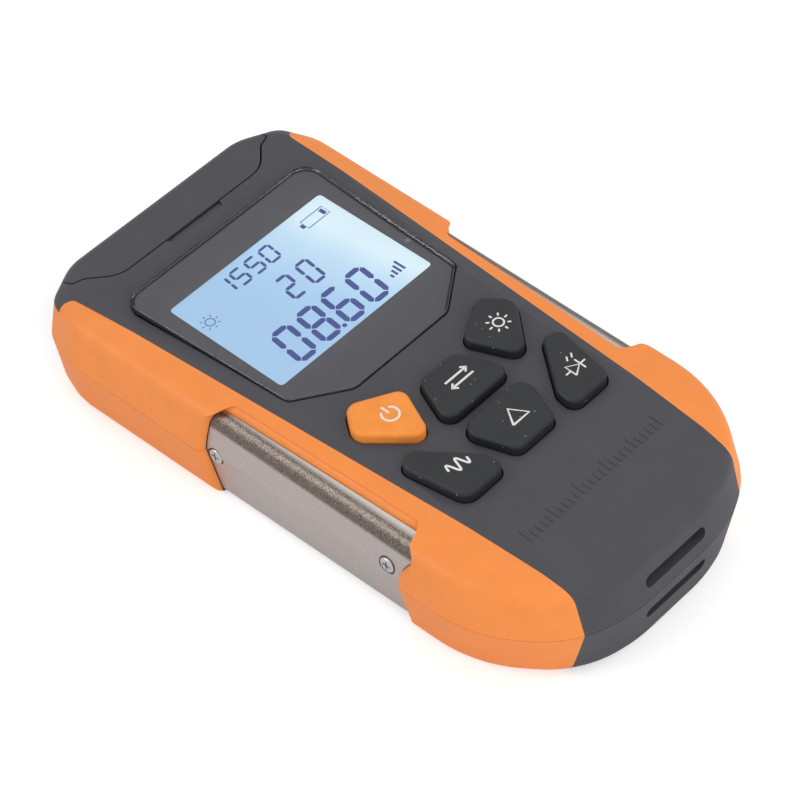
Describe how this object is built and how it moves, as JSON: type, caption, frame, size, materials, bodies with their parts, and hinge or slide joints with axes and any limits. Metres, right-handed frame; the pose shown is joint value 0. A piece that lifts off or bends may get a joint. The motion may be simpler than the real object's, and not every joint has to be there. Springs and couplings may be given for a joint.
{
  "type": "optical power meter",
  "caption": "Handheld optical power meter with soft side grips, a display behind a raised window, soft keys and a hinged cover over its fibre port.",
  "frame": {"origin": "centre of the outline on the plane of the back, so that the meter lies on z = 0", "axes": "+Y along the body towards the fibre port, +Z out of the face, +X to the right of the keypad"},
  "size_m": [0.0804, 0.1528, 0.0318],
  "materials": {
    "shell_dark": "matte",
    "grip_orange": "soft matte",
    "plate_metal": "satin",
    "screw_steel": "satin",
    "window": "gloss",
    "display_glass": "gloss",
    "display_light": "gloss",
    "inner_plastic": "matte",
    "tape": "matte",
    "key_dark": "matte",
    "key_orange": "matte",
    "mat_rubber": "matte",
    "board": "satin",
    "chip": "matte",
    "port_metal": "polished",
    "ceramic_white": "gloss",
    "lens_clear": "gloss",
    "lamp_white": "gloss",
    "cell_case": "gloss",
    "contact_metal": "polished"
  },
  "bodies": {
    "housing": {"front_shell": "shell_dark", "rear_shell": "shell_dark", "grip_front_right": "grip_orange", "grip_front_left": "grip_orange", "grip_rear_port_right": "grip_orange", "grip_rear_port_left": "grip_orange", "grip_rear_end_right": "grip_orange", "grip_rear_end_left": "grip_orange", "side_plate_right": "plate_metal", "side_plate_left": "plate_metal", "side_screws": "screw_steel", "case_screws": "screw_steel", "hinge_pin": "screw_steel", "port_screws": "screw_steel", "board_screws": "screw_steel", "port_panel": "inner_plastic", "port_adapter": "port_metal", "port_sleeve": "ceramic_white", "detector": "port_metal", "detector_block": "inner_plastic", "torch_lens": "lens_clear", "torch_led": "lamp_white", "display_window": "window", "window_tape": "tape", "lcd_panel": "display_glass", "backlight": "display_light", "lcd_holder": "inner_plastic", "keypad_mat": "mat_rubber", "key_domes": "contact_metal", "main_board": "board", "board_chips": "chip", "battery_cells": "cell_case", "cell_plates": "contact_metal", "cell_springs": "contact_metal"},
    "cover": {"port_cover": "shell_dark"},
    "door": {"battery_door": "shell_dark"},
    "key_power_body": {"key_power": "key_orange"},
    "key_light_body": {"key_light": "key_dark"},
    "key_unit_body": {"key_unit": "key_dark"},
    "key_reference_body": {"key_reference": "key_dark"},
    "key_wavelength_body": {"key_wavelength": "key_dark"},
    "key_led_body": {"key_led": "key_dark"}
  },
  "joints": [
    {"name": "port_cover_hinge", "type": "hinge", "parent": "housing", "child": "cover", "pos_m": [0, 0.0724, 0.0044], "axis": [-1, 0, 0], "range_deg": [0, 90]},
    {"name": "battery_door_hinge", "type": "hinge", "parent": "housing", "child": "door", "pos_m": [0, 0, 0.001], "axis": [1, 0, 0], "range_deg": [0, 45]},
    {"name": "key_power_press", "type": "slide", "parent": "housing", "child": "key_power_body", "axis": [0, 0, -1], "range_m": [0, 0.0008], "stiffness_N_per_m": 1200},
    {"name": "key_light_press", "type": "slide", "parent": "housing", "child": "key_light_body", "axis": [0, 0, -1], "range_m": [0, 0.0008], "stiffness_N_per_m": 1200},
    {"name": "key_unit_press", "type": "slide", "parent": "housing", "child": "key_unit_body", "axis": [0, 0, -1], "range_m": [0, 0.0008], "stiffness_N_per_m": 1200},
    {"name": "key_reference_press", "type": "slide", "parent": "housing", "child": "key_reference_body", "axis": [0, 0, -1], "range_m": [0, 0.0008], "stiffness_N_per_m": 1200},
    {"name": "key_wavelength_press", "type": "slide", "parent": "housing", "child": "key_wavelength_body", "axis": [0, 0, -1], "range_m": [0, 0.0008], "stiffness_N_per_m": 1200},
    {"name": "key_led_press", "type": "slide", "parent": "housing", "child": "key_led_body", "axis": [0, 0, -1], "range_m": [0, 0.0008], "stiffness_N_per_m": 1200}
  ]
}
